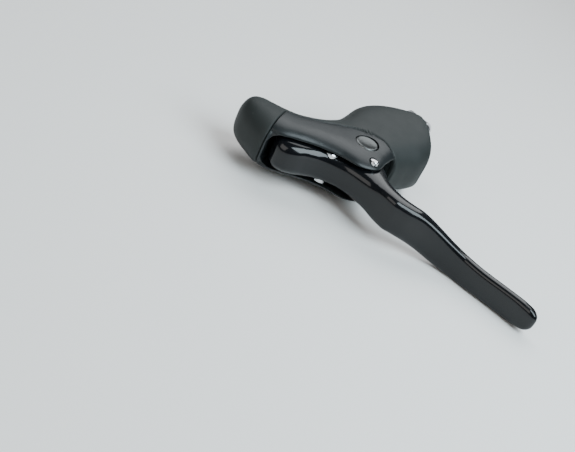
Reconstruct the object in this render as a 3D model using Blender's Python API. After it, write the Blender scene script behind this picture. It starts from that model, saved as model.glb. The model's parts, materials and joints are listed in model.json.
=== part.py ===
"""Drop-bar brake lever: bracket, rubber hood, curved blade, pivot, release pin, cable and bar clamp fittings.

The lever lies on its side. Its own axes are used throughout, in millimetres:
    x  along the blade, from its tip towards its head
    y  forward, away from the handlebar
    z  across the lever, zero in its middle plane
The pivot axle crosses x = 0, y = 0. At the end the whole lever is moved so that its lowest point is on
z = 0 and the middle of its footprint is at the origin.
"""
import bpy
import bmesh
import math
from mathutils import Matrix, Vector

for old in list(bpy.data.objects):
    bpy.data.objects.remove(old, do_unlink=True)

mm = 0.001

# ---- driving dimensions (mm) ----
gap = 0.3                    # between pieces that touch on the real lever
runningGap = 0.35            # round pieces that turn or slide in a hole

bladeHalfWidth = 7.3         # the blade's head
headRoom = 0.8               # on each side of the blade's head
mouthHalfWidth = bladeHalfWidth + headRoom
cheekWall = 3.0
bracketHalfWidth = mouthHalfWidth + cheekWall
hoodWall = 2.0
flapWall = 1.1               # rubber flaps beside the handlebar
floorDepth = 9.5             # slot floor behind the pivot
seamX = 34.2                 # where the rubber horn starts

earThickness = 2.8
webThickness = 3.1

axleRadius = 2.5
axleHeadRadius = 4.9
axleHeadHeight = 1.5
axleHeadStand = 0.25         # height of the head's face above the cheek
sleeveWall = 1.2
bushWall = 1.3
bushStand = 0.2              # bush above the ear, so the blade runs on the thrust washer
thrustRadius = 5.6

anchorRadius = 3.2
anchorX = 9.6
anchorY = 13.0

pinRadius = 1.9
pinX = -6.6
pinY = 9.0
pinHeadStand = -0.2          # the button's face against the cheek's widest plane
pinTravel = 2.0
bladePull = 24.0             # degrees

barRadius = 12.0
barTilt = 20.0               # degrees, handlebar against the blade's chord
barX = -18.0                 # a point on the handlebar's centre line
saddleY = -26.5              # the handlebar's front, below that point
barY = saddleY - barRadius
bandX = -10.5                # where the clamp band crosses that line
bandWidth = 10.0
bandThickness = 0.9
hookLength = 3.0             # the band's ends turned in under the nut
armLean = 14.0               # degrees, the band's arms draw together towards the nut
clampDraw = 1.2              # how far the nut pulls the band

boltRadius = 2.5
boltHeadRadius = 4.2
boltHeadHeight = 4.6
nutStandOff = 3.2            # from the handlebar to the nut's rear face
nutSeat = barRadius + nutStandOff
nutToSeat = 9.3              # from there to the bolt head's seat
boltSeat = nutSeat + nutToSeat
washerThickness = 0.8
nutHeight = 5.0

stopRadius = 2.7
stopX = 9.4
stopZ = 4.2
stopFront = -17.0
stopRear = -28.0
cableRadius = 0.9
cableHeadRadius = 2.0

hexKey = 2.5                 # half the width across flats of the bolt head's socket

springWire = 0.55
springTurns = 4.5
coilRadius = axleRadius + gap + sleeveWall + gap + springWire
legRoom = 0.85               # the slot's flat floor ends this far short of the coil's middle line

beyond = 20                  # cutters run this far out, past every wall

flapInside = barRadius + gap + bandThickness + 2 * gap
hoodHalfWidth = flapInside + flapWall


def flared(share):
    """Half width on the way from the cheeks (0) to the flaps (1)."""
    return bracketHalfWidth + share * (hoodHalfWidth - bracketHalfWidth)


# Each station of the hull: rear point, front point, half width, how much it narrows towards the front
# and how square its section is.
boxy = 3.2
hullStations = [
    ((51.7, 10.2), (51.5, 13.6), bracketHalfWidth - 6.7, 0.1, boxy),
    ((50.9, 7.8), (49.9, 16.4), bracketHalfWidth - 3.9, 0.2, boxy),
    ((49.2, 5.4), (47.6, 19.2), bracketHalfWidth - 1.9, 0.3, boxy),
    ((45.8, 4.2), (44.2, 22.0), bracketHalfWidth - 0.7, 0.3, boxy),
    ((41.0, 4.0), (40.3, 24.6), bracketHalfWidth - 0.2, 0.26, boxy),
    ((35.5, 3.6), (36.0, 26.6), bracketHalfWidth + 0.1, 0.16, boxy),
    ((30.0, 1.8), (30.0, 26.7), bracketHalfWidth + 0.1, 0.08, boxy),
    ((25.5, -1.2), (23.0, 23.2), bracketHalfWidth + 0.1, 0.0, boxy),
    ((21.5, -5.5), (15.0, 19.8), bracketHalfWidth, 0.0, boxy),
    ((18.8, -10.5), (5.0, 17.8), bracketHalfWidth, 0.0, boxy),
    ((17.2, -15.5), (-5.0, 17.5), bracketHalfWidth, 0.0, boxy),
    ((16.4, -20.5), (-11.6, 12.5), flared(0.05), 0.0, boxy),
    ((15.8, -24.6), (-12.8, 4.0), flared(0.21), 0.0, 3.1),
    ((15.2, -28.8), (-14.5, -4.0), flared(0.42), 0.0, 3.0),
    ((14.2, -32.8), (-19.0, -11.0), flared(0.6), 0.0, 2.9),
    ((12.4, -36.2), (-24.0, -18.0), flared(0.79), 0.0, 2.8),
    ((9.6, -39.0), (-26.6, -25.0), flared(0.92), 0.0, 2.7),
    ((5.4, -41.2), (-26.2, -31.3), hoodHalfWidth, 0.0, 2.6),
    ((-0.5, -42.4), (-22.5, -37.0), hoodHalfWidth, 0.0, 2.5),
    ((-7.0, -42.2), (-17.0, -39.9), flared(0.95), 0.0, 2.4),
]
hullSides = 28
firstInnerStation = 2

# Outline of the hard bracket that the hood leaves bare, seen from the side.
bareOutline = [(seamX, 45), (seamX, 9.5), (28, 7), (20, 2.5), (12, -4), (6, -7.6), (0, -8.2), (-5, -7.6),
               (-9, -6), (-14, -4.6), (-45, -4.6), (-45, 45)]

# Outline of the slot for the blade's head and the space behind it.
mouthOutline = [(33.2, 45), (33.2, 15), (30, 8.5), (24, 2.5), (13, -6), (6, -floorDepth),
                (legRoom - coilRadius, -floorDepth), (-10, -5.2), (-45, -5.2), (-45, 45)]

# Each station of the blade: x, front y, back y, how far it leans aside, half width.
bladeStations = [
    (31.9, 21.0, 16.4, 0.0, bladeHalfWidth - 2.5),
    (30.8, 23.8, 14.0, 0.0, bladeHalfWidth - 1.0),
    (28.2, 26.2, 11.6, 0.0, bladeHalfWidth - 0.2),
    (24.4, 27.0, 8.4, 0.0, bladeHalfWidth),
    (20.0, 25.4, 4.6, 0.0, bladeHalfWidth),
    (16.0, 22.2, 1.4, 0.0, bladeHalfWidth),
    (11.0, 19.2, -2.4, 0.0, bladeHalfWidth),
    (5.0, 17.6, -5.6, 0.0, bladeHalfWidth),
    (0.0, 17.4, -6.4, 0.0, bladeHalfWidth),
    (-5.0, 18.3, -6.0, 0.0, bladeHalfWidth),
    (-9.0, 19.5, -3.2, 0.0, bladeHalfWidth),
    (-12.5, 20.8, 3.0, 0.1, bladeHalfWidth),
    (-16.0, 22.3, 9.6, 0.1, bladeHalfWidth + 0.1),
    (-20.0, 24.0, 12.8, 0.0, bladeHalfWidth + 0.2),
    (-22.5, 24.6, 13.6, -0.2, bladeHalfWidth + 0.2),
    (-25.5, 23.9, 13.9, -0.6, bladeHalfWidth + 0.1),
    (-29.0, 22.8, 13.7, -1.2, bladeHalfWidth + 0.1),
    (-33.0, 21.2, 13.0, -2.1, bladeHalfWidth + 0.2),
    (-38.0, 19.3, 12.2, -3.8, 7.4),
    (-44.0, 17.9, 11.6, -6.0, 7.1),
    (-50.0, 17.5, 11.4, -7.8, 6.6),
    (-56.0, 18.1, 12.0, -8.8, 6.1),
    (-62.0, 19.7, 13.6, -9.1, 5.8),
    (-68.0, 21.2, 15.2, -9.1, 5.6),
    (-74.0, 22.7, 16.9, -9.0, 5.6),
    (-80.0, 24.4, 18.6, -8.9, 5.6),
    (-85.0, 26.0, 20.2, -8.7, 5.4),
    (-89.0, 26.9, 21.8, -8.5, 4.6),
    (-91.3, 26.2, 23.4, -8.4, 2.6),
]
bladePower = 3.0
bladeSides = 20


# ---- small helpers ----

def at(x, y, z=0.0):
    return Vector((x, y, z)) * mm


def bowed(value, power):
    return math.copysign(abs(value) ** (2.0 / power), value)


def barPoint(along, ahead):
    """A point in the middle plane, measured from where the band crosses the handlebar's centre line."""
    tilt = math.radians(barTilt)
    crossY = barY - (bandX - barX) * math.tan(tilt)
    return (bandX - along * math.cos(tilt) + ahead * math.sin(tilt),
            crossY + along * math.sin(tilt) + ahead * math.cos(tilt))


def arcPoints(centre, radius, first, last, steps=8):
    angles = [first + (last - first) * k / steps for k in range(steps + 1)]
    return [(centre[0] + radius * math.cos(angle), centre[1] + radius * math.sin(angle)) for angle in angles]


def finish(name, bm, smoothAngle=35.0):
    bmesh.ops.remove_doubles(bm, verts=bm.verts, dist=0.00001)
    bmesh.ops.recalc_face_normals(bm, faces=bm.faces)
    mesh = bpy.data.meshes.new(name)
    bm.to_mesh(mesh)
    bm.free()
    mesh.shade_smooth()
    mesh.set_sharp_from_angle(angle=math.radians(smoothAngle))
    piece = bpy.data.objects.new(name, mesh)
    bpy.context.scene.collection.objects.link(piece)
    return piece


def paint(piece, colour, roughness, metallic):
    material = bpy.data.materials.new(piece.name)
    material.use_nodes = True
    shader = material.node_tree.nodes["Principled BSDF"]
    shader.inputs["Base Color"].default_value = (*colour, 1.0)
    shader.inputs["Roughness"].default_value = roughness
    shader.inputs["Metallic"].default_value = metallic
    piece.data.materials.append(material)


def loft(name, rings):
    """Skin a row of closed rings and cap both ends."""
    bm = bmesh.new()
    rows = [[bm.verts.new(point) for point in ring] for ring in rings]
    for near, far in zip(rows, rows[1:]):
        for k in range(len(near)):
            nextK = (k + 1) % len(near)
            bm.faces.new((near[k], near[nextK], far[nextK], far[k]))
    bm.faces.new(rows[0])
    bm.faces.new(rows[-1])
    return finish(name, bm)


def prism(name, outline, low, high):
    """Raise an outline in the x-y plane from one height to another."""
    bm = bmesh.new()
    base = [bm.verts.new(at(x, y, low)) for x, y in outline]
    face = bm.faces.new(base)
    raised = bmesh.ops.extrude_face_region(bm, geom=[face])["geom"]
    risen = [item for item in raised if isinstance(item, bmesh.types.BMVert)]
    bmesh.ops.translate(bm, verts=risen, vec=at(0, 0, high - low))
    return finish(name, bm)


def turned(name, profile, centre, axis, steps=24, closed=False):
    """Spin a profile of (radius, height) points; an open profile starts and ends on the axis."""
    bm = bmesh.new()
    verts = [bm.verts.new(at(radius, 0, height)) for radius, height in profile]
    edges = [bm.edges.new(pair) for pair in zip(verts, verts[1:])]
    if closed:
        edges.append(bm.edges.new((verts[-1], verts[0])))
    bmesh.ops.spin(bm, geom=verts + edges, cent=(0, 0, 0), axis=(0, 0, 1), angle=2 * math.pi,
                   steps=steps, use_merge=True)
    turn = Vector((0, 0, 1)).rotation_difference(Vector(axis)).to_matrix().to_4x4()
    bmesh.ops.transform(bm, matrix=Matrix.Translation(at(*centre)) @ turn, verts=bm.verts)
    return finish(name, bm)


def rod(name, radius, low, high, centre, axis, steps=24):
    return turned(name, [(0, low), (radius, low), (radius, high), (0, high)], centre, axis, steps)


def cut(piece, cutter, operation="DIFFERENCE", solver="EXACT"):
    modifier = piece.modifiers.new(cutter.name, "BOOLEAN")
    modifier.object = cutter
    modifier.operation = operation
    modifier.solver = solver
    cutter.hide_render = True
    cutter.display_type = "WIRE"


def grown(outline, distance):
    """Move each side of an outline outwards by a distance and meet its neighbours again."""
    area = sum(a[0] * b[1] - b[0] * a[1] for a, b in zip(outline, outline[1:] + outline[:1]))
    side = math.copysign(1.0, area)
    result = []
    for k, here in enumerate(outline):
        before = Vector(here) - Vector(outline[k - 1])
        after = Vector(outline[(k + 1) % len(outline)]) - Vector(here)
        normalA = Vector((before.y, -before.x)).normalized() * side
        normalB = Vector((after.y, -after.x)).normalized() * side
        middle = (normalA + normalB).normalized()
        reach = distance / middle.dot(normalA)
        result.append((here[0] + middle.x * reach, here[1] + middle.y * reach))
    return result


def hullRings(inset, first=0):
    """Boxy oval sections between each station's rear and front point, drawn in by an inset."""
    rings = []
    for rear, front, half, narrow, power in hullStations[first:]:
        start = Vector(rear)
        end = Vector(front)
        along = (end - start).normalized()
        middle = (start + end) / 2
        reach = (end - start).length / 2 - inset
        ring = []
        for k in range(hullSides):
            angle = 2 * math.pi * k / hullSides
            ahead = bowed(math.cos(angle), power)
            flat = middle + along * reach * ahead
            taper = 1 - narrow * max(ahead, 0.0) ** 1.5
            ring.append(at(flat.x, flat.y, (half - inset) * taper * bowed(math.sin(angle), power)))
        rings.append(ring)
    return rings


def bladeRings():
    rings = []
    for x, front, back, lean, half in bladeStations:
        ring = []
        for k in range(bladeSides):
            angle = 2 * math.pi * k / bladeSides
            y = (front + back) / 2 + (front - back) / 2 * bowed(math.cos(angle), bladePower)
            ring.append(at(x, y, lean + half * bowed(math.sin(angle), bladePower)))
        rings.append(ring)
    return rings


def alongHandlebar(name, section, half):
    """A section of (sideways, ahead) points, swept along the handlebar."""
    bm = bmesh.new()
    rows = []
    for along in (-half, half):
        rows.append([bm.verts.new(at(*barPoint(along, ahead), sideways)) for sideways, ahead in section])
    for k in range(len(section)):
        nextK = (k + 1) % len(section)
        bm.faces.new((rows[0][k], rows[0][nextK], rows[1][nextK], rows[1][k]))
    bm.faces.new(rows[0])
    bm.faces.new(rows[1])
    return finish(name, bm)


def armSide(radius, ahead):
    """How far out the band's arm is at a distance ahead of the handlebar's centre line."""
    return radius * math.cos(lean) - (ahead - radius * math.sin(lean)) * math.tan(lean)


across = (0, 0, 1)
forward = (0, 1, 0)
lean = math.radians(armLean)
tiltAngle = math.radians(barTilt)
alongBar = (-math.cos(tiltAngle), math.sin(tiltAngle), 0)
boltWay = (math.sin(tiltAngle), math.cos(tiltAngle), 0)
bandCentre = (*barPoint(0, 0), 0)
cheekFace = bracketHalfWidth


# ---- bracket: moulded body with cheeks, saddle and bores ----

def makeBracket():
    body = loft("bracket_body", hullRings(hoodWall + gap, firstInnerStation))
    shell = loft("bare_shell_cutter", hullRings(0.0))
    bare = prism("bare_region_cutter", bareOutline, -beyond, beyond)
    cut(shell, bare, "INTERSECT")
    cut(body, shell, "UNION")
    cut(body, prism("mouth_cutter", mouthOutline, -mouthHalfWidth, mouthHalfWidth))
    cut(body, rod("saddle_cutter", barRadius + gap / 2, -3 * beyond, 3 * beyond, bandCentre, alongBar, 48))

    halfSlot = bandWidth / 2 + gap
    slotFront = nutSeat + nutHeight + clampDraw + bandThickness + 2 * gap
    corners = [barPoint(-halfSlot, -barRadius - 4), barPoint(halfSlot, -barRadius - 4),
               barPoint(halfSlot, slotFront), barPoint(-halfSlot, slotFront)]
    cut(body, prism("nut_slot_cutter", corners, -beyond - 2, beyond + 2), solver="MANIFOLD")

    axleHole = axleRadius + runningGap
    headHole = axleHeadRadius + gap
    seat = cheekFace + axleHeadStand - axleHeadHeight - gap
    profile = [(0, -beyond), (headHole, -beyond), (headHole, -seat), (axleHole, -seat),
               (axleHole, seat), (headHole, seat), (headHole, beyond), (0, beyond)]
    cut(body, turned("axle_cutter", profile, (0, 0, 0), across, 32))
    pinHole = pinRadius + runningGap
    cut(body, rod("pin_cutter", pinHole, -beyond, beyond, (pinX, pinY, 0), across))

    headSpace = boltHeadRadius + gap
    profile = [(0, 5), (boltRadius + gap, 5), (boltRadius + gap, boltSeat), (headSpace, boltSeat),
               (headSpace, boltSeat + beyond), (0, boltSeat + beyond)]
    cut(body, turned("bolt_cutter", profile, bandCentre, boltWay, 28))

    stopHole = stopRadius + gap
    guideHole = stopRadius - 0.6 + gap
    profile = [(0, stopRear - 12), (stopHole, stopRear - 12), (stopHole, stopFront + gap),
               (cableRadius + 0.3, stopFront + gap), (cableRadius + 0.3, stopFront + 2.0),
               (guideHole, stopFront + 2.0), (guideHole, 4), (0, 4)]
    cut(body, turned("cable_way_cutter", profile, (stopX, 0, stopZ), forward, 20))
    paint(body, (0.030, 0.033, 0.036), 0.42, 0.0)
    return body


# ---- hood: rubber skin over the bracket ----

def makeHood():
    hood = loft("rubber_hood", hullRings(0.0))
    cut(hood, prism("hood_window_cutter", grown(bareOutline, gap), -beyond - 1, beyond + 1))
    cut(hood, rod("bar_way_cutter", flapInside, -3 * beyond, 3 * beyond, bandCentre, alongBar, 48))
    rings = hullRings(hoodWall, firstInnerStation)
    rings.append([point - Vector(boltWay) * hoodWall * 1.4 * mm for point in rings[-1]])
    cut(hood, loft("hood_cavity_cutter", rings))

    # Room for the band's arms, at rest and drawn forward.
    clear = barRadius + gap + bandThickness + gap
    start = clear * math.sin(lean)
    end = nutSeat + nutHeight + bandThickness + clampDraw + 2 * gap
    wide = armSide(clear, start - clampDraw)
    slim = armSide(clear, end - clampDraw)
    room = [(wide, start), (slim, end), (-slim, end), (-wide, start)]
    cut(hood, alongHandlebar("arm_room_cutter", room, bandWidth / 2 + gap))
    paint(hood, (0.040, 0.043, 0.046), 0.75, 0.0)
    return hood


# ---- blade with two ears, a hollow head, and bores for what it carries ----

def makeBlade():
    blade = loft("lever_blade", bladeRings())
    web = [(x, front - webThickness) for x, front, back, lean, half in bladeStations if -15 < x < 26]
    lastX = web[-1][0] - 3.0
    hollow = [(web[0][0], -beyond)] + web + [(lastX, web[-1][1] - 1.0), (lastX, -beyond)]
    inside = bladeHalfWidth - earThickness
    cut(blade, prism("hollow_cutter", hollow, -inside, inside))
    cut(blade, rod("bush_cutter", axleRadius + gap + bushWall + gap, -beyond, beyond, (0, 0, 0), across, 28))
    anchorHole = anchorRadius + runningGap
    cut(blade, rod("anchor_cutter", anchorHole, -beyond, beyond, (anchorX, anchorY, 0), across, 24))

    # The slot round the release pin is an arc about the pivot with round ends.
    swing = math.hypot(pinX, pinY)
    start = math.atan2(pinY, pinX) + math.radians(0.5)
    end = start - math.radians(bladePull + 2.5)
    slotHalf = pinRadius + runningGap
    startPoint = (swing * math.cos(start), swing * math.sin(start))
    endPoint = (swing * math.cos(end), swing * math.sin(end))
    outline = arcPoints((0, 0), swing + slotHalf, start, end)
    outline += arcPoints(endPoint, slotHalf, end, end - math.pi)[1:-1]
    outline += arcPoints((0, 0), swing - slotHalf, end, start)
    outline += arcPoints(startPoint, slotHalf, start + math.pi, start)[1:-1]
    cut(blade, prism("pin_slot_cutter", outline, -beyond, beyond))
    paint(blade, (0.010, 0.011, 0.013), 0.12, 0.6)
    return blade


# ---- pivot: axle, screw, sleeve, bushes and spring ----

def makePivot():
    face = cheekFace + axleHeadStand
    under = face - axleHeadHeight
    bevel = 0.5
    screwReach = 5.0
    profile = [(0, -under + screwReach), (axleRadius, -under + screwReach), (axleRadius, under),
               (axleHeadRadius, under), (axleHeadRadius, face - bevel), (axleHeadRadius - bevel, face), (0, face)]
    axle = turned("pivot_axle", profile, (0, 0, 0), across, 32)
    paint(axle, (0.22, 0.22, 0.23), 0.3, 1.0)
    screwEnd = -under + screwReach - gap
    profile = [(0, -face), (axleHeadRadius - bevel, -face), (axleHeadRadius, -face + bevel),
               (axleHeadRadius, -under), (axleRadius, -under), (axleRadius, screwEnd), (0, screwEnd)]
    screw = turned("pivot_screw", profile, (0, 0, 0), across, 32)
    paint(screw, (0.22, 0.22, 0.23), 0.3, 1.0)

    inner = axleRadius + gap
    earInside = bladeHalfWidth - earThickness
    half = earInside - gap
    sleeve = turned("spring_sleeve", [(inner, -half), (inner + sleeveWall, -half), (inner + sleeveWall, half),
                                      (inner, half)], (0, 0, 0), across, 24, closed=True)
    paint(sleeve, (0.75, 0.74, 0.70), 0.5, 0.0)
    for name, side in (("pivot_bush_left", 1), ("pivot_bush_right", -1)):
        low = side * earInside
        high = side * (bladeHalfWidth + bushStand)
        outer = inner + bushWall
        bush = turned(name, [(inner, low), (outer, low), (outer, high), (inner, high)],
                      (0, 0, 0), across, 24, closed=True)
        paint(bush, (0.70, 0.52, 0.22), 0.35, 1.0)
    space = mouthHalfWidth - bladeHalfWidth - bushStand
    for name, side in (("thrust_washer_left", 1), ("thrust_washer_right", -1)):
        low = side * (bladeHalfWidth + bushStand + space * 0.25)
        high = side * (mouthHalfWidth - space * 0.25)
        washer = turned(name, [(inner, low), (thrustRadius, low), (thrustRadius, high), (inner, high)],
                        (0, 0, 0), across, 24, closed=True)
        paint(washer, (0.80, 0.79, 0.74), 0.5, 0.0)

    coilHalf = half - springWire - gap
    path = [at(anchorX - anchorRadius - gap - 2 * springWire, anchorY - 2.5, -coilHalf)]
    stepsPerTurn = 12
    total = int(springTurns * stepsPerTurn)
    for k in range(total + 1):
        angle = 2 * math.pi * k / stepsPerTurn
        path.append(at(coilRadius * math.cos(angle), coilRadius * math.sin(angle),
                       -coilHalf + 2 * coilHalf * k / total))
    path.append(at(-coilRadius, -floorDepth + springWire + gap, coilHalf))
    curve = bpy.data.curves.new("return_spring", "CURVE")
    curve.dimensions = "3D"
    curve.bevel_depth = springWire * mm
    curve.bevel_resolution = 1
    curve.use_fill_caps = True
    spline = curve.splines.new("POLY")
    spline.points.add(len(path) - 1)
    for point, place in zip(spline.points, path):
        point.co = (*place, 1.0)
    spring = bpy.data.objects.new("return_spring", curve)
    bpy.context.scene.collection.objects.link(spring)
    paint(spring, (0.5, 0.5, 0.52), 0.3, 1.0)


# ---- cable anchor barrel in the blade's ears, with a keyed hole for the cable's end ----

def makeAnchor():
    reach = bladeHalfWidth - 0.1
    bevel = 0.35
    place = (anchorX, anchorY, 0)
    headSeat = 0.4
    profile = [(0, -reach), (anchorRadius - bevel, -reach), (anchorRadius, -reach + bevel),
               (anchorRadius, reach - bevel), (anchorRadius - bevel, reach), (0, reach)]
    anchor = turned("cable_anchor", profile, place, across, 28)
    cut(anchor, rod("cable_hole_cutter", cableRadius + gap, -beyond, beyond, place, forward, 14))
    cut(anchor, rod("cable_head_cutter", cableHeadRadius, headSeat, beyond, place, forward, 18))
    paint(anchor, (0.62, 0.62, 0.63), 0.2, 1.0)


# ---- release pin: slides across the cheeks and is the blade's rest stop ----

def makeReleasePin():
    face = cheekFace + pinHeadStand
    dome = 0.7
    tail = cheekFace - pinTravel - gap
    pin = turned("release_pin", [(0, -tail), (pinRadius - 0.3, -tail), (pinRadius, -tail + 0.3),
                                 (pinRadius, face - dome), (pinRadius * 0.8, face - dome * 0.35), (0, face)],
                 (pinX, pinY, 0), across, 24)
    ringPlace = bladeHalfWidth - earThickness - 1.6
    grooveDepth = 0.5
    grooveLow = ringPlace - 0.6
    grooveHigh = ringPlace + 0.6
    profile = [(pinRadius - grooveDepth, grooveLow), (pinRadius + 1, grooveLow),
               (pinRadius + 1, grooveHigh), (pinRadius - grooveDepth, grooveHigh)]
    groove = turned("pin_groove_cutter", profile, (pinX, pinY, 0), across, 24, closed=True)
    cut(pin, groove)
    paint(pin, (0.62, 0.62, 0.63), 0.15, 1.0)
    ringInner = pinRadius - grooveDepth + gap
    ring = turned("release_ring", [(ringInner, ringPlace - 0.3), (pinRadius + 0.35, ringPlace - 0.3),
                                   (pinRadius + 0.35, ringPlace + 0.3), (ringInner, ringPlace + 0.3)],
                  (pinX, pinY, 0), across, 20, closed=True)
    paint(ring, (0.02, 0.02, 0.02), 0.6, 0.0)


# ---- clamp: band round the handlebar, nut bar, bolt and washer ----

def makeClamp():
    inner = barRadius + gap
    outer = inner + bandThickness
    armEnd = nutSeat + nutHeight + gap
    half = bandWidth / 2
    steps = 20

    def arc(radius, sense):
        sweep = math.pi + 2 * lean
        angles = [lean - sweep * k / steps for k in range(steps + 1)]
        return [(radius * math.cos(angle), radius * math.sin(angle)) for angle in angles][::sense]

    tip = armEnd + bandThickness
    outerTip = armSide(outer, tip)
    halfNut = armSide(inner, armEnd) - gap
    hookEnd = halfNut - hookLength
    innerTip = armSide(inner, armEnd)
    section = [(hookEnd, armEnd), (hookEnd, tip), (outerTip, tip)]
    section += arc(outer, 1)
    section += [(-outerTip, tip), (-hookEnd, tip), (-hookEnd, armEnd), (-innerTip, armEnd)]
    section += arc(inner, -1) + [(innerTip, armEnd)]
    band = alongHandlebar("clamp_band", section, half)
    paint(band, (0.60, 0.60, 0.62), 0.25, 1.0)

    halfDeep = half - 0.5
    corners = [barPoint(-halfDeep, nutSeat), barPoint(halfDeep, nutSeat),
               barPoint(halfDeep, nutSeat + nutHeight), barPoint(-halfDeep, nutSeat + nutHeight)]
    nut = prism("clamp_nut", corners, -halfNut, halfNut)
    cut(nut, rod("nut_hole_cutter", boltRadius + gap, -5, 40, bandCentre, boltWay, 24))
    paint(nut, (0.35, 0.35, 0.36), 0.4, 1.0)

    washerLow = boltSeat + gap
    washerHigh = washerLow + washerThickness
    washer = turned("clamp_washer", [(boltRadius + gap, washerLow), (boltHeadRadius, washerLow),
                                     (boltHeadRadius, washerHigh), (boltRadius + gap, washerHigh)],
                    bandCentre, boltWay, 24, closed=True)
    paint(washer, (0.5, 0.5, 0.52), 0.35, 1.0)
    headLow = washerHigh + gap
    headHigh = headLow + boltHeadHeight
    boltEnd = nutSeat - 1.5
    bevel = 0.4
    profile = [(0, boltEnd), (boltRadius - bevel, boltEnd), (boltRadius, boltEnd + bevel), (boltRadius, headLow),
               (boltHeadRadius, headLow), (boltHeadRadius, headHigh - bevel),
               (boltHeadRadius - bevel, headHigh), (0, headHigh)]
    bolt = turned("clamp_bolt", profile, bandCentre, boltWay, 24)
    hexRadius = hexKey / math.cos(math.radians(30))
    cut(bolt, rod("hex_cutter", hexRadius, headHigh - 2.6, headHigh + 5, bandCentre, boltWay, 6))
    paint(bolt, (0.05, 0.05, 0.055), 0.35, 1.0)


# ---- cable way: ferrule for the housing and a plastic guide in front of it ----

def makeCableWay():
    lip = cableRadius + 0.3
    stopInside = stopRadius - 0.5
    stopFloor = stopFront - 1.2
    profile = [(lip, stopFront), (lip, stopFloor), (stopInside, stopFloor),
               (stopInside, stopRear), (stopRadius, stopRear), (stopRadius, stopFront)]
    stop = turned("housing_stop", profile, (stopX, 0, stopZ), forward, 24, closed=True)
    paint(stop, (0.55, 0.55, 0.57), 0.3, 1.0)
    guideLow = stopFront + 2.0 + gap
    guideHigh = -floorDepth + 0.8
    guideRadius = stopRadius - 0.6
    guide = turned("cable_guide", [(lip, guideLow), (guideRadius, guideLow), (guideRadius, guideHigh),
                                   (lip + 0.6, guideHigh), (lip, guideHigh - 0.8)],
                   (stopX, 0, stopZ), forward, 20, closed=True)
    paint(guide, (0.03, 0.03, 0.03), 0.5, 0.0)


makeBracket()
makeHood()
makeBlade()
makePivot()
makeAnchor()
makeReleasePin()
makeClamp()
makeCableWay()


# ---- put the lever on its side on z = 0, with the middle of its footprint at the origin ----

# Empties on the axes of what moves: name, place, and the pieces that ride on it.
carriers = [
    ("blade_axis", (0, 0, 0), ["lever_blade", "pivot_bush_left", "pivot_bush_right"]),
    ("anchor_axis", (anchorX, anchorY, 0), ["cable_anchor"]),
    ("release_axis", (pinX, pinY, 0), ["release_pin", "release_ring"]),
    ("clamp_axis", bandCentre, ["clamp_band", "clamp_nut"]),
]


def restOnFloor():
    bpy.context.view_layer.update()
    solids = [piece for piece in bpy.data.objects if not piece.hide_render]
    depsgraph = bpy.context.evaluated_depsgraph_get()
    low = Vector((1e9, 1e9, 1e9))
    high = -low
    for piece in solids:
        shape = piece.evaluated_get(depsgraph).to_mesh()
        for vertex in shape.vertices:
            place = piece.matrix_world @ vertex.co
            low = Vector(map(min, low, place))
            high = Vector(map(max, high, place))
    root = bpy.data.objects.new("lever_root", None)
    bpy.context.scene.collection.objects.link(root)
    for piece in list(bpy.data.objects):
        if piece is not root:
            piece.parent = root
    for name, place, pieces in carriers:
        carrier = bpy.data.objects.new(name, None)
        bpy.context.scene.collection.objects.link(carrier)
        carrier.parent = root
        carrier.location = at(*place)
        for pieceName in pieces:
            piece = bpy.data.objects[pieceName]
            piece.parent = carrier
            piece.matrix_parent_inverse = Matrix.Translation(-at(*place))
    root.location = (-(low.x + high.x) / 2, -(low.y + high.y) / 2, -low.z)
    print("pivot stands at", tuple(round(value, 6) for value in root.location))


restOnFloor()
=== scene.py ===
# Drop-bar brake lever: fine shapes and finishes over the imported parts.
import bmesh
import bpy
import json
import math
import numpy as np
from mathutils import Matrix, Vector


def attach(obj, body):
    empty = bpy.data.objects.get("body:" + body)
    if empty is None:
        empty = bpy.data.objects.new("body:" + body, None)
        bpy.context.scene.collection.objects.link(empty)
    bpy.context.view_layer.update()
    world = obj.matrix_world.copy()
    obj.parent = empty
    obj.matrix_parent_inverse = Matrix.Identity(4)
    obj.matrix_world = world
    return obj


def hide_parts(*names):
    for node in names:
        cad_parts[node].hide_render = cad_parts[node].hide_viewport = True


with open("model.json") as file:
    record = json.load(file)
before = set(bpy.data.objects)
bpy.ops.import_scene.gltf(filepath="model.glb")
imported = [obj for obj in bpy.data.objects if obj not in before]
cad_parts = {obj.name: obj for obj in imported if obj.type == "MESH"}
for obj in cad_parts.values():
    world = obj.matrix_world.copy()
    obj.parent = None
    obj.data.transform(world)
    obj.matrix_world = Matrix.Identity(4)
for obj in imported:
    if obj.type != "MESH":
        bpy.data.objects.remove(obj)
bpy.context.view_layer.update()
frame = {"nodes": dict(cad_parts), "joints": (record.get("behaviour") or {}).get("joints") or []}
nodes = frame["nodes"]
joints = {joint["name"]: joint for joint in frame["joints"]}
pivot = np.array(joints["blade_pull"]["pos_m"])
mm = 0.001


def toWorld(points):  # lever millimetres, counted from the pivot, to the frame's metres
    return np.asarray(points, dtype=float) * mm + pivot


cameraLook = {
    "place": (-24.0, 314.4, 170.7),
    "aim": (9.0, 43.1, -14.4),
    "roll": 26.35,
    "lens": 54.07,
    "sensorWidth": 36.0,
    "clipStart": 0.01,
}

lightRigs = [
    # name, place (mm), aim (mm), width and height (m), watts, colour
    ("window", (-330, 120, 430), (0, 0, 0), (0.34, 0.52), 6.0, (0.80, 0.93, 1.0)),
    ("skyPanel", (120, -420, 520), (0, 0, 0), (0.9, 0.5), 5.0, (0.95, 0.98, 1.0)),
    ("frontFill", (260, 520, 380), (0, 10, 0), (0.5, 0.5), 1.6, (1.0, 0.97, 0.93)),
]

roomLook = {"colour": (0.62, 0.68, 0.74), "strength": 0.16}

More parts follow.
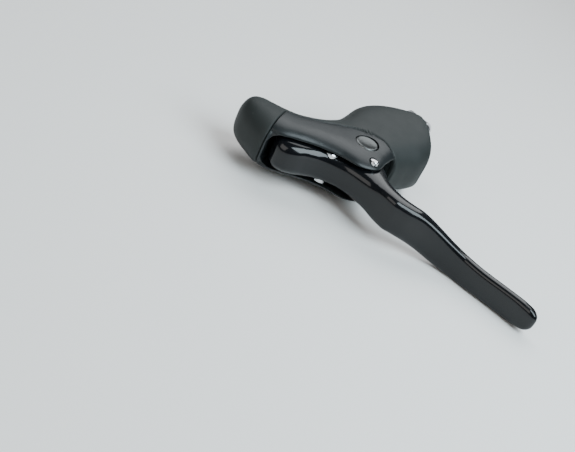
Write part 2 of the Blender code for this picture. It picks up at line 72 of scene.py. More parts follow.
floorLook = {"size": 8.0, "colour": (0.80, 0.79, 0.77), "patchShade": 0.97, "roughness": (0.55, 0.65),
             "grain": 900.0, "patch": 6.0, "bump": 0.05}


def link(thing):
    bpy.context.scene.collection.objects.link(thing)
    return thing


def facing(place, aim):  # the turn that points -z from the place to the aim
    return (Vector(aim) - Vector(place)).to_track_quat("-Z", "Y").to_matrix()


def makeCamera():
    camera = link(bpy.data.objects.new("camera", bpy.data.cameras.new("camera")))
    place, aim = toWorld(cameraLook["place"]), toWorld(cameraLook["aim"])
    turn = facing(place, aim) @ Matrix.Rotation(math.radians(cameraLook["roll"]), 3, "Z")
    camera.matrix_world = Matrix.Translation(Vector(place)) @ turn.to_4x4()
    camera.data.lens = cameraLook["lens"]
    camera.data.sensor_width = cameraLook["sensorWidth"]
    camera.data.clip_start = cameraLook["clipStart"]
    bpy.context.scene.camera = camera


def makeLights():
    for name, place, aim, size, watts, colour in lightRigs:
        lamp = bpy.data.lights.new(name, "AREA")
        lamp.shape = "RECTANGLE"
        lamp.size, lamp.size_y = size
        lamp.energy = watts
        lamp.color = colour
        holder = link(bpy.data.objects.new(name, lamp))
        start, end = toWorld(place), toWorld(aim)
        holder.matrix_world = Matrix.Translation(Vector(start)) @ facing(start, end).to_4x4()
    world = bpy.data.worlds.new("room")
    world.use_nodes = True
    background = world.node_tree.nodes["Background"]
    background.inputs["Color"].default_value = (*roomLook["colour"], 1.0)
    background.inputs["Strength"].default_value = roomLook["strength"]
    bpy.context.scene.world = world


def groupSocket(tree, name, way, kind="NodeSocketFloat", value=None):
    socket = tree.interface.new_socket(name=name, in_out=way, socket_type=kind)
    if value is not None:
        socket.default_value = value
    return socket


def makeGrainGroup():  # fine grain and slow patches from two noises on object coordinates
    tree = bpy.data.node_groups.new("surfaceGrain", "ShaderNodeTree")
    groupSocket(tree, "Stretch", "INPUT", "NodeSocketVector", (1.0, 1.0, 1.0))
    groupSocket(tree, "Grain Scale", "INPUT", value=2500.0)
    groupSocket(tree, "Patch Scale", "INPUT", value=90.0)
    groupSocket(tree, "Grain", "OUTPUT")
    groupSocket(tree, "Patch", "OUTPUT")
    source = tree.nodes.new("NodeGroupInput")
    sink = tree.nodes.new("NodeGroupOutput")
    coordinates = tree.nodes.new("ShaderNodeTexCoord")
    stretch = tree.nodes.new("ShaderNodeVectorMath")
    stretch.operation = "MULTIPLY"
    grain = tree.nodes.new("ShaderNodeTexNoise")
    grain.inputs["Detail"].default_value = 3.0
    patch = tree.nodes.new("ShaderNodeTexNoise")
    patch.inputs["Detail"].default_value = 4.0
    patch.inputs["Roughness"].default_value = 0.6
    tree.links.new(coordinates.outputs["Object"], stretch.inputs[0])
    tree.links.new(source.outputs["Stretch"], stretch.inputs[1])
    tree.links.new(stretch.outputs["Vector"], grain.inputs["Vector"])
    tree.links.new(coordinates.outputs["Object"], patch.inputs["Vector"])
    tree.links.new(source.outputs["Grain Scale"], grain.inputs["Scale"])
    tree.links.new(source.outputs["Patch Scale"], patch.inputs["Scale"])
    tree.links.new(grain.outputs["Fac"], sink.inputs["Grain"])
    tree.links.new(patch.outputs["Fac"], sink.inputs["Patch"])
    return tree


def makeRubGroup():  # a mask on worn convex edges: pointiness broken up by noise
    tree = bpy.data.node_groups.new("edgeRub", "ShaderNodeTree")
    groupSocket(tree, "Low", "INPUT", value=0.53)
    groupSocket(tree, "High", "INPUT", value=0.60)
    groupSocket(tree, "Break Up", "INPUT", value=600.0)
    groupSocket(tree, "Mask", "OUTPUT")
    source = tree.nodes.new("NodeGroupInput")
    sink = tree.nodes.new("NodeGroupOutput")
    geometry = tree.nodes.new("ShaderNodeNewGeometry")
    spread = tree.nodes.new("ShaderNodeMapRange")
    coordinates = tree.nodes.new("ShaderNodeTexCoord")
    noise = tree.nodes.new("ShaderNodeTexNoise")
    noise.inputs["Detail"].default_value = 5.0
    contrast = tree.nodes.new("ShaderNodeMapRange")
    contrast.inputs["From Min"].default_value = 0.38
    contrast.inputs["From Max"].default_value = 0.62
    both = tree.nodes.new("ShaderNodeMath")
    both.operation = "MULTIPLY"
    tree.links.new(geometry.outputs["Pointiness"], spread.inputs["Value"])
    tree.links.new(source.outputs["Low"], spread.inputs["From Min"])
    tree.links.new(source.outputs["High"], spread.inputs["From Max"])
    tree.links.new(coordinates.outputs["Object"], noise.inputs["Vector"])
    tree.links.new(source.outputs["Break Up"], noise.inputs["Scale"])
    tree.links.new(noise.outputs["Fac"], contrast.inputs["Value"])
    tree.links.new(spread.outputs["Result"], both.inputs[0])
    tree.links.new(contrast.outputs["Result"], both.inputs[1])
    tree.links.new(both.outputs["Value"], sink.inputs["Mask"])
    return tree


grainGroup = makeGrainGroup()
rubGroup = makeRubGroup()

plainFinish = {
    "colour": (0.5, 0.5, 0.5), "lift": (0.55, 0.55, 0.55), "rub": (0.6, 0.6, 0.6), "rubAmount": 0.3,
    "roughness": (0.3, 0.45), "metallic": 0.0, "specular": 0.5, "coat": 0.0, "coatRoughness": 0.05,
    "grain": 2500.0, "patch": 90.0, "stretch": (1.0, 1.0, 1.0), "bump": 0.2, "depth": 0.03,
}

finishes = {
    "bodyResin": {"colour": (0.006, 0.008, 0.009), "lift": (0.012, 0.015, 0.016), "rub": (0.05, 0.06, 0.06),
                  "roughness": (0.30, 0.42), "specular": 0.3, "grain": 3800.0, "patch": 70.0, "bump": 0.25,
                  "depth": 0.02},
    "hoodRubber": {"colour": (0.009, 0.012, 0.012), "lift": (0.019, 0.023, 0.022), "rub": (0.06, 0.07, 0.066),
                   "roughness": (0.50, 0.68), "specular": 0.3, "grain": 2600.0, "patch": 55.0, "bump": 0.45,
                   "depth": 0.05},
    "bladeGloss": {"colour": (0.002, 0.002, 0.003), "lift": (0.004, 0.005, 0.006), "rub": (0.02, 0.025, 0.03),
                   "rubAmount": 0.25, "roughness": (0.14, 0.24), "specular": 0.15, "coat": 0.45,
                   "coatRoughness": 0.03, "grain": 1400.0, "patch": 45.0, "bump": 0.05, "depth": 0.02},
    "axleSteel": {"colour": (0.075, 0.08, 0.08), "lift": (0.12, 0.125, 0.125), "rub": (0.7, 0.7, 0.7),
                  "rubAmount": 1.0, "roughness": (0.3, 0.42), "metallic": 1.0, "grain": 1500.0,
                  "stretch": (0.15, 3.0, 1.0), "bump": 0.04, "depth": 0.01},
    "pinSteel": {"colour": (0.58, 0.58, 0.60), "lift": (0.66, 0.66, 0.67), "roughness": (0.08, 0.2),
                 "metallic": 1.0, "grain": 3000.0, "bump": 0.06, "depth": 0.01},
    "springSteel": {"colour": (0.45, 0.45, 0.47), "lift": (0.55, 0.55, 0.56), "roughness": (0.2, 0.35),
                    "metallic": 1.0, "grain": 3000.0, "stretch": (1.0, 1.0, 0.1)},
    "bushBronze": {"colour": (0.55, 0.36, 0.14), "lift": (0.66, 0.46, 0.2), "roughness": (0.35, 0.5),
                   "metallic": 1.0, "grain": 5000.0},
    "nylon": {"colour": (0.66, 0.64, 0.58), "lift": (0.74, 0.72, 0.66), "roughness": (0.4, 0.55)},
    "bandStainless": {"colour": (0.52, 0.52, 0.53), "lift": (0.60, 0.60, 0.61), "roughness": (0.25, 0.38),
                      "metallic": 1.0, "grain": 1800.0, "stretch": (0.2, 0.2, 3.0)},
    "nutSteel": {"colour": (0.30, 0.30, 0.31), "lift": (0.40, 0.40, 0.40), "roughness": (0.3, 0.5),
                 "metallic": 1.0},
    "boltBlack": {"colour": (0.03, 0.03, 0.033), "lift": (0.05, 0.05, 0.052), "rub": (0.25, 0.25, 0.25),
                  "roughness": (0.3, 0.45), "metallic": 0.6},
    "ferruleAlloy": {"colour": (0.5, 0.5, 0.52), "lift": (0.6, 0.6, 0.61), "roughness": (0.22, 0.36),
                     "metallic": 1.0, "stretch": (1.0, 4.0, 1.0)},
    "guidePlastic": {"colour": (0.02, 0.02, 0.02), "lift": (0.03, 0.03, 0.03), "roughness": (0.35, 0.5)},
    "ringRubber": {"colour": (0.012, 0.012, 0.012), "lift": (0.02, 0.02, 0.02), "roughness": (0.5, 0.7)},
}


def makeFinish(name, changes):
    look = {**plainFinish, **changes}
    material = bpy.data.materials.new(name)
    material.use_nodes = True
    tree = material.node_tree
    shader = tree.nodes["Principled BSDF"]
    shader.inputs["Metallic"].default_value = look["metallic"]
    shader.inputs["Specular IOR Level"].default_value = look["specular"]
    shader.inputs["Coat Weight"].default_value = look["coat"]
    shader.inputs["Coat Roughness"].default_value = look["coatRoughness"]
    grain = tree.nodes.new("ShaderNodeGroup")
    grain.node_tree = grainGroup
    grain.inputs["Stretch"].default_value = look["stretch"]
    grain.inputs["Grain Scale"].default_value = look["grain"]
    grain.inputs["Patch Scale"].default_value = look["patch"]
    rub = tree.nodes.new("ShaderNodeGroup")
    rub.node_tree = rubGroup
    tone = tree.nodes.new("ShaderNodeMix")
    tone.data_type = "RGBA"
    tone.inputs["A"].default_value = (*look["colour"], 1.0)
    tone.inputs["B"].default_value = (*look["lift"], 1.0)
    worn = tree.nodes.new("ShaderNodeMix")
    worn.data_type = "RGBA"
    worn.inputs["B"].default_value = (*look["rub"], 1.0)
    amount = tree.nodes.new("ShaderNodeMath")
    amount.operation = "MULTIPLY"
    amount.inputs[1].default_value = look["rubAmount"]
    rough = tree.nodes.new("ShaderNodeMapRange")
    rough.inputs["From Min"].default_value = 0.3
    rough.inputs["From Max"].default_value = 0.7
    rough.inputs["To Min"].default_value = look["roughness"][0]
    rough.inputs["To Max"].default_value = look["roughness"][1]
    bump = tree.nodes.new("ShaderNodeBump")
    bump.inputs["Strength"].default_value = look["bump"]
    bump.inputs["Distance"].default_value = look["depth"] * mm
    tree.links.new(grain.outputs["Patch"], tone.inputs["Factor"])
    tree.links.new(rub.outputs["Mask"], amount.inputs[0])
    tree.links.new(amount.outputs["Value"], worn.inputs["Factor"])
    tree.links.new(tone.outputs["Result"], worn.inputs["A"])
    tree.links.new(worn.outputs["Result"], shader.inputs["Base Color"])
    tree.links.new(grain.outputs["Patch"], rough.inputs["Value"])
    tree.links.new(rough.outputs["Result"], shader.inputs["Roughness"])
    tree.links.new(grain.outputs["Grain"], bump.inputs["Height"])
    tree.links.new(bump.outputs["Normal"], shader.inputs["Normal"])
    return material


materials = {name: makeFinish(name, changes) for name, changes in finishes.items()}


def makeFloor():
    half = floorLook["size"] / 2
    corners = [(-half, -half, 0), (half, -half, 0), (half, half, 0), (-half, half, 0)]
    mesh = bpy.data.meshes.new("floor")
    mesh.from_pydata(corners, [], [(0, 1, 2, 3)])
    floor = link(bpy.data.objects.new("floor", mesh))
    colour = floorLook["colour"]
    material = makeFinish("floorCard", {
        "colour": colour, "lift": tuple(value * floorLook["patchShade"] for value in colour), "rub": colour,
        "roughness": floorLook["roughness"], "grain": floorLook["grain"], "patch": floorLook["patch"],
        "bump": floorLook["bump"]})
    mesh.materials.append(material)


def smoothRows(table, count):  # a cubic through the rows, with its slope at each row from its neighbours
    table = np.asarray(table, dtype=float)
    steps = np.linalg.norm(np.diff(table, axis=0), axis=1)
    place = np.concatenate([[0.0], np.cumsum(steps)])
    slope = np.gradient(table, place, axis=0)
    wanted = np.linspace(0.0, 1.0, count) * place[-1]
    k = np.clip(np.searchsorted(place, wanted, side="right") - 1, 0, len(place) - 2)
    width = (place[k + 1] - place[k])[:, None]
    t = (wanted - place[k])[:, None] / width
    return ((2 * t**3 - 3 * t**2 + 1) * table[k] + (t**3 - 2 * t**2 + t) * width * slope[k]
            + (-2 * t**3 + 3 * t**2) * table[k + 1] + (t**3 - t**2) * width * slope[k + 1])


def bowed(value, power):  # the power curve that squares off an oval
    return np.sign(value) * np.abs(value) ** (2.0 / power)


def polygonDistance(x, y, outline):  # distance to an outline in the x-y plane, negative inside it
    outline = np.asarray(outline, dtype=float)
    after = np.roll(outline, -1, axis=0)
    best = np.full(x.shape, 1e9)
    inside = np.zeros(x.shape, dtype=bool)
    for (ax, ay), (bx, by) in zip(outline, after):
        ex, ey = bx - ax, by - ay
        t = np.clip(((x - ax) * ex + (y - ay) * ey) / (ex * ex + ey * ey), 0, 1)
        best = np.minimum(best, np.hypot(x - ax - t * ex, y - ay - t * ey))
        crosses = (ay > y) != (by > y)
        inside ^= crosses & (x < ex * (y - ay) / (ey + 1e-12) + ax)
    return np.where(inside, -best, best)


def gridNormals(grid):  # cross product of the two grid directions, closed round the columns
    along = np.gradient(grid, axis=0)
    around = np.roll(grid, -1, axis=1) - np.roll(grid, 1, axis=1)
    normal = np.cross(around, along)
    size = np.linalg.norm(normal, axis=2, keepdims=True)
    return normal / np.maximum(size, 1e-9)


def roll(distance, radius):  # how far a rounded lip sinks at a distance from its edge: a quarter circle
    d = np.clip(distance, 0.0, radius)
    return radius - np.sqrt(np.maximum(radius**2 - (radius - d) ** 2, 0.0))


def closedGrid(name, grid):  # rings joined into a skin, with a point closing each end
    rows, columns = grid.shape[:2]
    points = np.concatenate([grid.reshape(-1, 3), [grid[0].mean(axis=0)], [grid[-1].mean(axis=0)]])
    index = np.arange(rows * columns).reshape(rows, columns)
    beside = np.roll(index, -1, axis=1)
    quads = np.stack([index[:-1], beside[:-1], beside[1:], index[1:]], axis=-1).reshape(-1, 4)
    first = np.stack([np.full(columns, rows * columns), beside[0], index[0]], axis=-1)
    last = np.stack([np.full(columns, rows * columns + 1), index[-1], beside[-1]], axis=-1)
    mesh = bpy.data.meshes.new(name)
    mesh.from_pydata(toWorld(points).tolist(), [], quads.tolist() + first.tolist() + last.tolist())
    return settle(name, mesh)


def settle(name, mesh):  # the mesh as an object, with its faces looking outwards
    piece = link(bpy.data.objects.new(name, mesh))
    if signedVolume(mesh) < 0:
        mesh.flip_normals()
    return piece


def signedVolume(mesh):  # six times the volume, negative when the faces look inwards
    mesh.calc_loop_triangles()
    points = np.empty(len(mesh.vertices) * 3)
    mesh.vertices.foreach_get("co", points)
    corners = np.empty(len(mesh.loop_triangles) * 3, dtype=np.int32)
    mesh.loop_triangles.foreach_get("vertices", corners)
    a, b, c = points.reshape(-1, 3)[corners.reshape(-1, 3)].transpose(1, 0, 2)
    return float(np.einsum("ij,ij->i", a, np.cross(b, c)).sum())


def slab(name, outline, low, high, plane="xy"):  # an outline carried straight through, along z or along y
    outline = np.asarray(outline, dtype=float)
    flat = np.zeros((2, len(outline), 3))
    flat[:, :, 0] = outline[:, 0]
    second, third = (1, 2) if plane == "xy" else (2, 1)
    flat[:, :, second] = outline[:, 1]
    flat[0, :, third] = low
    flat[1, :, third] = high
    count = len(outline)
    sides = [(k, (k + 1) % count, count + (k + 1) % count, count + k) for k in range(count)]
    mesh = bpy.data.meshes.new(name)
    mesh.from_pydata(toWorld(flat.reshape(-1, 3)).tolist(), [],
                     sides + [tuple(range(count)), tuple(range(count, 2 * count))])
    mesh.validate()
    consistent(mesh)
    return settle(name, mesh)


def consistent(mesh):  # all faces turned the same way
    bm = bmesh.new()
    bm.from_mesh(mesh)
    bmesh.ops.recalc_face_normals(bm, faces=bm.faces)
    bm.to_mesh(mesh)
    bm.free()


def turnedGrid(profile, centre, axis, sides):  # a profile of radius and height swept round an axis
    profile = np.asarray(profile, dtype=float)
    axis = np.asarray(axis, dtype=float) / np.linalg.norm(axis)
    helper = np.array([0.0, 0.0, 1.0]) if abs(axis[2]) < 0.9 else np.array([1.0, 0.0, 0.0])
    first = np.cross(axis, helper)
    first /= np.linalg.norm(first)
    second = np.cross(axis, first)
    angle = np.linspace(0, 2 * np.pi, sides, endpoint=False)
    ring = np.cos(angle)[:, None] * first + np.sin(angle)[:, None] * second
    return (np.asarray(centre) + profile[:, 1][:, None, None] * axis
            + profile[:, 0][:, None, None] * ring[None, :, :])


def turned(name, profile, centre, axis, sides=72):
    return closedGrid(name, turnedGrid(profile, centre, axis, sides))


def carve(piece, steps):  # each step's cutter is added, taken away or kept in common, then removed
    for operation, cutter in steps:
        modifier = piece.modifiers.new(cutter.name, "BOOLEAN")
        modifier.operation = operation
        modifier.object = cutter
        modifier.solver = "MANIFOLD"
    bpy.context.view_layer.update()
    whole = piece.evaluated_get(bpy.context.evaluated_depsgraph_get())
    mesh = bpy.data.meshes.new_from_object(whole)
    piece.modifiers.clear()
    piece.data = mesh
    for _, cutter in steps:
        bpy.data.objects.remove(cutter, do_unlink=True)


def dress(piece, finish, body, replaced, sharp=32.0):
    mesh = piece.data
    mesh.materials.clear()
    mesh.materials.append(materials[finish])
    mesh.shade_smooth()
    mesh.set_sharp_from_angle(angle=math.radians(sharp))
    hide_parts(*replaced)
    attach(piece, body)
    print("made", piece.name, len(mesh.polygons), "faces")


# The outer form that the bracket and the hood share.
hull = {
    "stations": [  # rear point, front point, half width, narrowing towards the front, squareness
        (51.65, 11.4, 51.65, 12.2, 0.8, 0.0, 3.2),
        (51.5, 10.2, 51.3, 13.6, 4.2, 0.1, 3.2),
        (50.9, 7.8, 49.9, 16.4, 7.1, 0.2, 3.2),
        (49.2, 5.4, 47.6, 19.2, 9.2, 0.3, 3.2),
        (45.8, 4.2, 44.2, 22.0, 10.4, 0.3, 3.2),
        (41.0, 4.0, 40.3, 24.6, 10.9, 0.26, 3.2),
        (35.5, 3.6, 36.0, 26.6, 11.2, 0.16, 3.2),
        (30.0, 1.8, 30.0, 26.7, 11.2, 0.08, 3.2),
        (25.5, -1.2, 23.0, 23.2, 11.2, 0.0, 3.2),
        (21.5, -5.5, 15.0, 19.8, 11.1, 0.0, 3.2),
        (18.8, -10.5, 5.0, 17.8, 11.1, 0.0, 3.2),
        (17.2, -15.5, -5.0, 17.5, 11.1, 0.0, 3.2),
        (16.4, -20.5, -11.6, 12.5, 11.3, 0.0, 3.2),
        (15.8, -24.6, -12.8, 4.0, 11.9, 0.0, 3.1),
        (15.2, -28.8, -14.5, -4.0, 12.7, 0.0, 3.0),
        (14.2, -32.8, -19.0, -11.0, 13.4, 0.0, 2.9),
        (12.4, -36.2, -24.0, -18.0, 14.1, 0.0, 2.8),
        (9.6, -39.0, -26.6, -25.0, 14.6, 0.0, 2.7),
        (5.4, -41.2, -26.2, -31.3, 14.85, 0.0, 2.6),
        (-0.5, -42.4, -22.5, -37.0, 14.85, 0.0, 2.5),
        (-7.0, -42.2, -17.0, -39.9, 14.7, 0.0, 2.4),
    ],
    "halfLimit": 14.87,
    "leastHalf": 0.3,
    "leastReach": 0.2,
    "narrowPower": 1.5,
    "hornTip": 51.68,
    "wall": 2.0,
    "gap": 0.3,
    "seam": 34.2,
    "mouthHalf": 8.1,
    "lipRound": 0.9,
    "rimRound": 0.6,
    "rubberRound": 0.9,
    "flapRoundLimit": 14.2,
    "cavityTail": 2.8,
    "innerStart": 3,
}

# Outlines and cutters end this far away, well outside the part: in the side view, and across it.
far = 60
across = 25

bareLine = smoothRows([(hull["seam"], 9.5), (28, 7), (20, 2.5), (12, -4), (6, -7.6), (0, -8.2), (-5, -7.6),
                       (-9, -6), (-14, -4.6)], 70)


def windowOutline(inset):  # the rubber's window, or the bracket's edge a little inside it
    line = bareLine + np.array([0.0, inset])
    line[0] = (hull["seam"] - inset, line[0][1])
    return [(hull["seam"] - inset, far)] + line.tolist() + [(-far, line[-1][1]), (-far, far)]


bareOutline = windowOutline(0.0)
mouthOutline = [(33.2, far), (33.2, 15), (30, 8.5), (24, 2.5), (13, -6), (6, -9.5), (-4, -9.5),
                (-10, -5.2), (-far, -5.2), (-far, far)]
# The slot's end towards the horn is round as seen from the front.
mouthSide = [(-far, hull["mouthHalf"]), (26, hull["mouthHalf"]), (29.5, 7.7), (32.0, 6.4), (33.4, 3.6),
             (33.8, 0.0)]
mouthPlan = [(x, -z) for x, z in mouthSide] + mouthSide[-2::-1]

# The handlebar's direction and place, and what is made round it.
bar = {"tilt": math.radians(20.0), "centre": (-10.5, -41.23), "flapInside": 13.8, "saddle": 12.15}
barAlong = np.array([-math.cos(bar["tilt"]), math.sin(bar["tilt"]), 0.0])
barAhead = np.array([math.sin(bar["tilt"]), math.cos(bar["tilt"]), 0.0])
barCentre = np.array([*bar["centre"], 0.0])


def barPoint(along, ahead):  # counted from the handlebar's centre, in the side view
    return (barCentre + barAlong * along + barAhead * ahead)[:2]


def hullGrid(inset, rows, columns, sink=None, firstStation=0):
    # Boxy ovals between each station's rear and front point: the bowed cosine runs forward and the bowed
    # sine across, narrowed towards the front. Sink presses the skin in near its edges.
    line = smoothRows(hull["stations"][firstStation:], rows)
    rear, front, half, narrow = line[:, 0:2], line[:, 2:4], line[:, 4], line[:, 5]
    middle = (rear + front) / 2
    reach = np.linalg.norm(front - rear, axis=1) / 2
    way = (front - rear) / (2 * reach[:, None])
    reach = np.maximum(reach - inset, hull["leastReach"])
    half = np.minimum(half, hull["halfLimit"]) - inset
    angle = np.linspace(0, 2 * np.pi, columns, endpoint=False)
    forward = bowed(np.cos(angle), line[:, 6:7])
    aside = bowed(np.sin(angle), line[:, 6:7])
    grid = np.empty((rows, columns, 3))
    grid[:, :, 0] = middle[:, 0:1] + way[:, 0:1] * reach[:, None] * forward
    grid[:, :, 0] = np.minimum(grid[:, :, 0], hull["hornTip"] - inset)
    grid[:, :, 1] = middle[:, 1:2] + way[:, 1:2] * reach[:, None] * forward
    taper = 1 - narrow[:, None] * np.clip(forward, 0, 1) ** hull["narrowPower"]
    grid[:, :, 2] = np.maximum(half, hull["leastHalf"])[:, None] * taper * aside
    if sink is None:
        return grid
    normal = gridNormals(grid)
    outward = np.sign(np.sum(normal * (grid - grid.mean(axis=1, keepdims=True)), axis=2, keepdims=True))
    return grid - normal * outward * sink(grid)[:, :, None]


def hoodSink(grid):  # the rubber rounds over at its window and beside the handlebar
    x, y, z = grid[:, :, 0], grid[:, :, 1], grid[:, :, 2]
    window = roll(polygonDistance(x, y, bareOutline), hull["rubberRound"])
    side = (x - barCentre[0]) * barAhead[0] + (y - barCentre[1]) * barAhead[1]
    tunnel = roll(np.hypot(side, z) - bar["flapInside"], hull["rubberRound"])
    return np.maximum(window, np.where(np.abs(z) < hull["flapRoundLimit"], tunnel, 0.0))


def bracketSink(grid):  # the bare part rounds over at the rubber's edge and at the slot
    x, y, z = grid[:, :, 0], grid[:, :, 1], grid[:, :, 2]
    rim = roll(-polygonDistance(x, y, bareOutline), hull["rimRound"])
    slot = np.maximum(np.abs(z) - hull["mouthHalf"], polygonDistance(x, y, mouthOutline))
    return np.maximum(rim, roll(slot, hull["lipRound"]))


def makeHood():
    hood = closedGrid("hoodSkin", hullGrid(0.0, 300, 200, hoodSink))
    cavity = hullGrid(hull["wall"], 90, 90, firstStation=hull["innerStart"])
    cavity = np.concatenate([cavity, cavity[-1:] - barAhead * hull["cavityTail"]])
    carve(hood, [
        ("DIFFERENCE", slab("windowCutter", bareOutline, -across, across)),
        ("DIFFERENCE", turned("barWayCutter", [(bar["flapInside"], -far), (bar["flapInside"], far)],
                              barCentre, barAlong, 120)),
        ("DIFFERENCE", closedGrid("cavityCutter", cavity)),
    ])
    dress(hood, "hoodRubber", "bracket", ["rubber_hood"])


# Where the release pin sits, its way through bracket and blade, and how far the blade swings round it.
release = {
    "centre": (-6.6, 9.0, 0),
    "wayRadius": 2.25,
    "swing": math.radians(26.5),
    "slack": math.radians(0.5),
    "rod": [(1.6, -8.8), (1.9, -8.5)],  # radius, height
    "face": 10.9,
    # Radius, how far below the face.
    "button": [(1.9, 0.75), (1.82, 0.5), (1.6, 0.26), (1.2, 0.1), (0.6, 0.02), (0.2, 0.0)],
}

# What is cut from the bracket: each way is a profile of radius and height along its own axis.
bracket = {
    "axleHole": 2.85,
    "headHole": 5.2,
    "headSeat": 9.55,
    "boltWay": [(2.8, 5), (2.8, 24.5), (4.5, 24.5), (4.5, 44)],
    "cableWay": [(3.0, -40), (3.0, -16.7), (1.2, -16.7), (1.2, -15.0), (2.4, -15.0), (2.4, 4)],
    "cableCentre": (9.4, 0, 4.2),
    "nutSeat": 15.2,
    "nutThickness": 5.0,
    "nutHalf": 5.0,
    "clampDraw": 1.2,
    "bandThickness": 0.9,
    "nutSlotRear": -16,
    "nutSlotAcross": 22,
}


def makeBracket():
    gap = hull["gap"]
    body = closedGrid("bracketShell", hullGrid(0.0, 240, 180, bracketSink))
    inner = closedGrid("innerBody", hullGrid(hull["wall"] + gap, 80, 80, firstStation=hull["innerStart"]))
    bare = slab("bareRegion", windowOutline(gap), -across, across)
    # The slot leaves room for the nut, the band and their draw forward, and two gaps.
    slotFront = (bracket["nutSeat"] + bracket["nutThickness"] + bracket["clampDraw"]
                 + bracket["bandThickness"] + 2 * gap)
    slotRear = bracket["nutSlotRear"]
    halfSlot = bracket["nutHalf"] + gap
    nutSlot = [barPoint(-halfSlot, slotRear), barPoint(halfSlot, slotRear), barPoint(halfSlot, slotFront),
               barPoint(-halfSlot, slotFront)]
    nutReach = bracket["nutSlotAcross"]
    mouth = slab("mouthCutter", mouthOutline, -hull["mouthHalf"], hull["mouthHalf"])
    carve(mouth, [("INTERSECT", slab("mouthPlanCutter", mouthPlan, -far - 10, far + 10, plane="xz"))])
    hole = bracket["axleHole"]
    head = bracket["headHole"]
    seat = bracket["headSeat"]
    axleWay = [(head, -across), (head, -seat), (hole, -seat), (hole, seat), (head, seat), (head, across)]
    pinWay = [(release["wayRadius"], -across), (release["wayRadius"], across)]
    carve(body, [
        ("INTERSECT", bare),
        ("UNION", inner),
        ("DIFFERENCE", mouth),
        ("DIFFERENCE", turned("saddleCutter", [(bar["saddle"], -far), (bar["saddle"], far)],
                              barCentre, barAlong, 120)),
        ("DIFFERENCE", slab("nutSlotCutter", nutSlot, -nutReach, nutReach)),
        ("DIFFERENCE", turned("axleCutter", axleWay, (0, 0, 0), (0, 0, 1))),
        ("DIFFERENCE", turned("pinCutter", pinWay, release["centre"], (0, 0, 1), 48)),
        ("DIFFERENCE", turned("boltCutter", bracket["boltWay"], barCentre, barAhead, 48)),
        ("DIFFERENCE", turned("cableCutter", bracket["cableWay"], bracket["cableCentre"], (0, 1, 0), 48)),
    ])
    dress(body, "bodyResin", "bracket", ["bracket_body"])


blade = {
    "stations": [  # x, front, back, how far it leans aside, half width
        (31.85, 19.2, 18.2, 0.0, 0.8),
        (31.6, 21.0, 16.4, 0.0, 4.4),
        (30.8, 23.6, 14.0, 0.0, 6.2),
        (28.2, 26.1, 11.6, 0.0, 7.0),
        (24.4, 26.9, 8.4, 0.0, 7.3),
        (20.0, 25.4, 4.6, 0.0, 7.3),
        (16.0, 22.2, 1.4, 0.0, 7.3),
        (11.0, 19.2, -2.4, 0.0, 7.3),
        (5.0, 17.6, -5.6, 0.0, 7.3),
        (0.0, 17.4, -6.4, 0.0, 7.3),
        (-5.0, 18.3, -6.0, 0.0, 7.3),
        (-9.0, 19.5, -3.2, 0.0, 7.3),
        (-12.5, 20.8, 3.0, 0.1, 7.3),
        (-16.0, 22.3, 9.6, 0.1, 7.4),
        (-20.0, 24.0, 12.8, 0.0, 7.5),
        (-22.5, 24.6, 13.6, -0.2, 7.5),
        (-25.5, 23.9, 13.9, -0.6, 7.4),
        (-29.0, 22.8, 13.7, -1.2, 7.4),
        (-33.0, 21.2, 13.0, -2.1, 7.5),
        (-38.0, 19.3, 12.2, -3.8, 7.4),
        (-44.0, 17.9, 11.6, -6.0, 7.1),
        (-50.0, 17.5, 11.4, -7.8, 6.6),
        (-56.0, 18.1, 12.0, -8.8, 6.1),
        (-62.0, 19.7, 13.6, -9.1, 5.8),
        (-68.0, 21.2, 15.2, -9.1, 5.6),
        (-74.0, 22.7, 16.9, -9.0, 5.6),
        (-80.0, 24.4, 18.6, -8.9, 5.6),
        (-85.0, 26.0, 20.2, -8.7, 5.4),
        (-89.0, 26.8, 21.8, -8.5, 4.5),
        (-90.8, 26.1, 23.2, -8.4, 2.8),
        (-91.2, 25.2, 24.2, -8.4, 0.8),
    ],
    "halfLimit": 7.55,
    "leastHalf": 0.3,
    "power": 3.0,
    "dish": 1.1,
    "dishPower": 2.5,
    # How much of the dish there is along the blade: x, share.
    "fade": [(-90, 0.0), (-80, 0.35), (-30, 0.45), (-22, 1.0), (0, 1.0), (20, 0.6), (27, 0.0), (30, 0.0)],
    "hollowEnds": (-15, 26),
    "hollowCorner": (3.0, 1.0),
    "hollowHalf": 4.5,
    "frontWall": 3.1,
    "bushHole": 4.4,
    "anchorHole": 3.55,
    "anchorCentre": (9.6, 13.0, 0),
    "cutReach": 20,
}


def bladeGrid(rows, columns):  # squared ovals along the blade, the front face hollowed between its two ridges
    line = smoothRows(blade["stations"], rows)
    x, front, back, lean, half = line.T
    half = np.clip(half, blade["leastHalf"], blade["halfLimit"])
    angle = np.linspace(0, 2 * np.pi, columns, endpoint=False)
    ahead = bowed(np.cos(angle), blade["power"])
    aside = bowed(np.sin(angle), blade["power"])
    grid = np.empty((rows, columns, 3))
    grid[:, :, 0] = x[:, None]
    grid[:, :, 1] = (front + back)[:, None] / 2 + (front - back)[:, None] / 2 * ahead
    fade = np.interp(x, *zip(*blade["fade"]))
    ridge = np.abs(aside) ** blade["dishPower"]
    grid[:, :, 1] -= blade["dish"] * fade[:, None] * np.clip(ahead, 0, 1) ** 2 * (1 - ridge)
    grid[:, :, 2] = lean[:, None] + half[:, None] * aside
    return grid


def arcPoints(centre, radius, first, last, count):  # points along part of a circle, by angle
    angle = np.linspace(first, last, count)
    return np.stack([centre[0] + radius * np.cos(angle), centre[1] + radius * np.sin(angle)], axis=1)


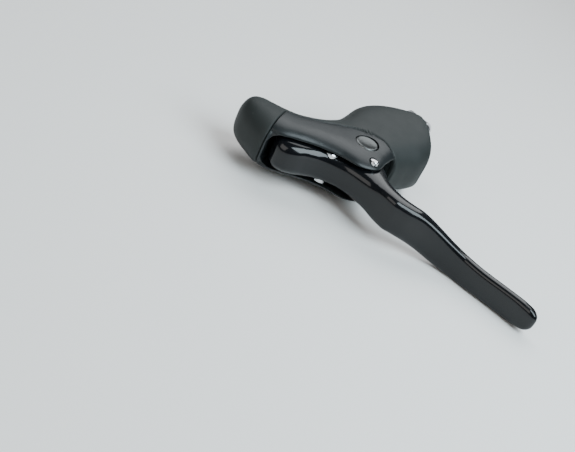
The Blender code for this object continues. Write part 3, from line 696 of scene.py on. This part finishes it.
def makeBlade():
    piece = closedGrid("bladeBody", bladeGrid(320, 144))
    reach = blade["cutReach"]
    low, high = blade["hollowEnds"]
    web = [(x, front - blade["frontWall"]) for x, front, *_ in blade["stations"] if low < x < high]
    headBack, headDrop = blade["hollowCorner"]
    headEnd = (web[0][0] - headBack, web[0][1] - headDrop)
    hollow = [(headEnd[0], -reach), headEnd] + web + [(web[-1][0], -reach)]
    # The pin's slot follows a circle round the axle, with a half circle at each end.
    pinX, pinY, _ = release["centre"]
    radius = math.hypot(pinX, pinY)
    start = math.atan2(pinY, pinX) + release["slack"]
    end = start - release["swing"]
    half = release["wayRadius"]
    startPoint = (radius * math.cos(start), radius * math.sin(start))
    endPoint = (radius * math.cos(end), radius * math.sin(end))
    pinSlot = np.concatenate([
        arcPoints((0, 0), radius + half, start, end, 20),
        arcPoints(endPoint, half, end, end - math.pi, 16)[1:-1],
        arcPoints((0, 0), radius - half, end, start, 20),
        arcPoints(startPoint, half, start + math.pi, start, 16)[1:-1],
    ])
    bushWay = [(blade["bushHole"], -reach), (blade["bushHole"], reach)]
    anchorWay = [(blade["anchorHole"], -reach), (blade["anchorHole"], reach)]
    carve(piece, [
        ("DIFFERENCE", slab("hollowCutter", hollow, -blade["hollowHalf"], blade["hollowHalf"])),
        ("DIFFERENCE", turned("bushCutter", bushWay, (0, 0, 0), (0, 0, 1))),
        ("DIFFERENCE", turned("anchorCutter", anchorWay, blade["anchorCentre"], (0, 0, 1))),
        ("DIFFERENCE", slab("pinSlotCutter", pinSlot, -reach, reach)),
    ])
    dress(piece, "bladeGloss", "blade", ["lever_blade"])


axle = {
    "radius": 2.5,
    "end": -6.85,
    "headRadius": 4.9,
    "headUnder": 9.85,
    "face": 11.35,
    # From the head's side to its sunk face: how far in from the side, how far below the rim.
    "rim": [(0.0, 0.55), (0.12, 0.3), (0.42, 0.08), (0.7, 0.0), (0.95, 0.06), (1.1, 0.12)],
    "sunk": 0.12,
    "middle": 0.4,
}


def makePivotHead():
    head = axle["headRadius"]
    face = axle["face"]
    profile = [(axle["radius"], axle["end"]), (axle["radius"], axle["headUnder"]), (head, axle["headUnder"])]
    profile += [(head - inward, face - down) for inward, down in axle["rim"]]
    profile += [(axle["middle"], face - axle["sunk"])]
    dress(turned("axleHead", profile, (0, 0, 0), (0, 0, 1), 96), "axleSteel", "bracket", ["pivot_axle"],
          25)


def makeReleasePin():
    profile = release["rod"] + [(radius, release["face"] - down) for radius, down in release["button"]]
    dress(turned("releaseButton", profile, release["centre"], (0, 0, 1), 64), "pinSteel", "release",
          ["release_pin"], 50)


nodeFinishes = {
    "pivot_screw": "axleSteel", "spring_sleeve": "nylon", "pivot_bush_left": "bushBronze",
    "pivot_bush_right": "bushBronze", "thrust_washer_left": "nylon", "thrust_washer_right": "nylon",
    "return_spring": "springSteel", "cable_anchor": "pinSteel", "release_ring": "ringRubber",
    "clamp_band": "bandStainless", "clamp_nut": "nutSteel", "clamp_bolt": "boltBlack",
    "clamp_washer": "nutSteel", "housing_stop": "ferruleAlloy", "cable_guide": "guidePlastic",
}


def dressNodes():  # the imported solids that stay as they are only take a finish
    for name, finish in nodeFinishes.items():
        for holder in nodes[name].material_slots:
            holder.material = materials[finish]


makeCamera()
makeLights()
makeFloor()
print("camera, lights and floor are set")
makeBracket()
makeHood()
makeBlade()
makePivotHead()
makeReleasePin()
dressNodes()
print("all pieces are dressed")
